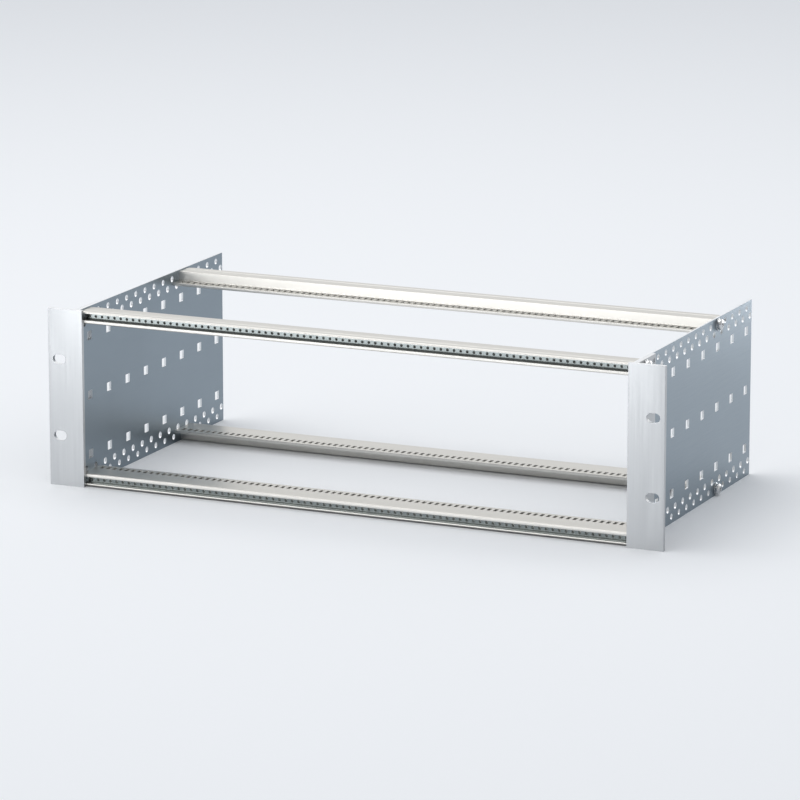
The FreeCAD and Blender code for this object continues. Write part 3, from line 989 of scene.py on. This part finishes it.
class CARDCAGE_OT_stage(Operator):
    """Makes the floor, the studio light and the camera"""
    bl_idname = "card_cage.stage"
    bl_label = "Stage"

    def execute(self, context):
        stage = context.scene.card_cage_stage
        self.make_floor(stage)
        self.make_world(context.scene, stage)
        add_lamp("Top lamp", ABOVE, stage.top)
        add_lamp("Front lamp", IN_FRONT, stage.front, FLANGES + SCREWS)
        add_lamp("Upper rail lamp", LOW_IN_FRONT, stage.upper_rail, UPPER_FRONT_RAIL)
        add_lamp("Lower rail lamp", LOW_IN_FRONT, stage.lower_rail, LOWER_FRONT_RAIL)
        add_lamp("Inner lamp", IN_FRONT, stage.inner, UPPER_REAR_RAIL)
        add_lamp("Side lamp", REAR_RIGHT, stage.side, RIGHT_PLATE + SCREWS)
        self.make_camera(context.scene, stage)
        context.scene.view_settings.view_transform = "Standard"
        return {"FINISHED"}

    def make_floor(self, stage):
        mesh = bpy.data.meshes.new("floor")
        reach = stage.floor_reach
        level = CAD_BOUNDS[0][2]
        corners = [(-reach, -reach), (reach, -reach), (reach, reach), (-reach, reach)]
        mesh.from_pydata([(x, y, level) for x, y in corners], [], [(0, 1, 2, 3)])
        floor = link(bpy.data.objects.new("floor", mesh))
        material, shader = new_material("Floor")
        shader.inputs["Base Color"].default_value = (*stage.backdrop, 1)
        shader.inputs["Roughness"].default_value = 0.9
        shader.inputs["Specular IOR Level"].default_value = 0.1
        mesh.materials.append(material)

    def make_world(self, scene, stage):
        world = bpy.data.worlds.new("Studio")
        world.use_nodes = True
        tree = world.node_tree
        ambient = tree.nodes["Background"]
        ambient.inputs["Color"].default_value = (*stage.ambient, 1)
        ambient.inputs["Strength"].default_value = stage.ambient_strength
        direction = add_node(tree, "ShaderNodeSeparateXYZ", {
            "Vector": tree.nodes.new("ShaderNodeTexCoord").outputs["Generated"],
        })
        behind = add_node(tree, "ShaderNodeMapRange", {
            "Value": direction.outputs["Y"],
            "From Min": ROOM_TURN[0],
            "From Max": ROOM_TURN[1],
            "To Min": stage.room,
            "To Max": 1.0,
        })
        path = tree.nodes.new("ShaderNodeLightPath")
        strength = add_node(tree, "ShaderNodeMath", {
            0: behind.outputs["Result"],
            1: path.outputs["Is Camera Ray"],
        }, operation="MAXIMUM")
        backdrop = add_node(tree, "ShaderNodeBackground", {
            "Color": (*stage.backdrop, 1),
            "Strength": strength.outputs["Value"],
        })
        mix = add_node(tree, "ShaderNodeMixShader", {0: seen_directly(tree, path)})
        tree.links.new(ambient.outputs["Background"], mix.inputs[1])
        tree.links.new(backdrop.outputs["Background"], mix.inputs[2])
        tree.links.new(mix.outputs["Shader"], tree.nodes["World Output"].inputs["Surface"])
        scene.world = world

    def make_camera(self, scene, stage):
        data = bpy.data.cameras.new("Camera")
        data.sensor_width = 36
        data.lens = stage.lens
        data.clip_end = 50
        camera = link(bpy.data.objects.new("Camera", data))
        azimuth, elevation = stage.azimuth, stage.elevation
        away = Vector((sin(azimuth) * cos(elevation), -cos(azimuth) * cos(elevation), sin(elevation)))
        camera.location = Vector(stage.aim) + away * stage.distance
        camera.rotation_euler = (pi / 2 - elevation, 0, azimuth)
        scene.camera = camera


OPERATORS = [
    CARDCAGE_OT_side_plates,
    CARDCAGE_OT_rack_flanges,
    CARDCAGE_OT_rails,
    CARDCAGE_OT_threaded_strips,
    CARDCAGE_OT_washers,
    CARDCAGE_OT_rail_screws,
    CARDCAGE_OT_stage,
]


class CARDCAGE_PT_panel(Panel):
    """Lists the cage's sizes, finishes and pieces"""
    bl_label = "Card Cage"
    bl_idname = "CARDCAGE_PT_panel"
    bl_space_type = "VIEW_3D"
    bl_region_type = "UI"
    bl_category = "Card Cage"

    def draw(self, context):
        for operator in OPERATORS:
            self.layout.operator(operator.bl_idname)
        for group in ("card_cage_sizes", "card_cage_finish", "card_cage_stage"):
            settings = getattr(context.scene, group)
            box = self.layout.box()
            for name in settings.bl_rna.properties.keys():
                if name not in ("rna_type", "name"):
                    box.prop(settings, name)


GROUPS = {
    "card_cage_sizes": CardCageSizes,
    "card_cage_finish": CardCageFinish,
    "card_cage_stage": CardCageStage,
}


def register():
    for group in GROUPS.values():
        bpy.utils.register_class(group)
    for name, group in GROUPS.items():
        setattr(bpy.types.Scene, name, PointerProperty(type=group))
    for operator in OPERATORS:
        bpy.utils.register_class(operator)
    bpy.utils.register_class(CARDCAGE_PT_panel)


def unregister():
    bpy.utils.unregister_class(CARDCAGE_PT_panel)
    for operator in reversed(OPERATORS):
        bpy.utils.unregister_class(operator)
    for name, group in GROUPS.items():
        delattr(bpy.types.Scene, name)
        bpy.utils.unregister_class(group)


def main():
    register()
    for operator in OPERATORS:
        family, action = operator.bl_idname.split(".")
        getattr(getattr(bpy.ops, family), action)()


if __name__ == "__main__":
    main()
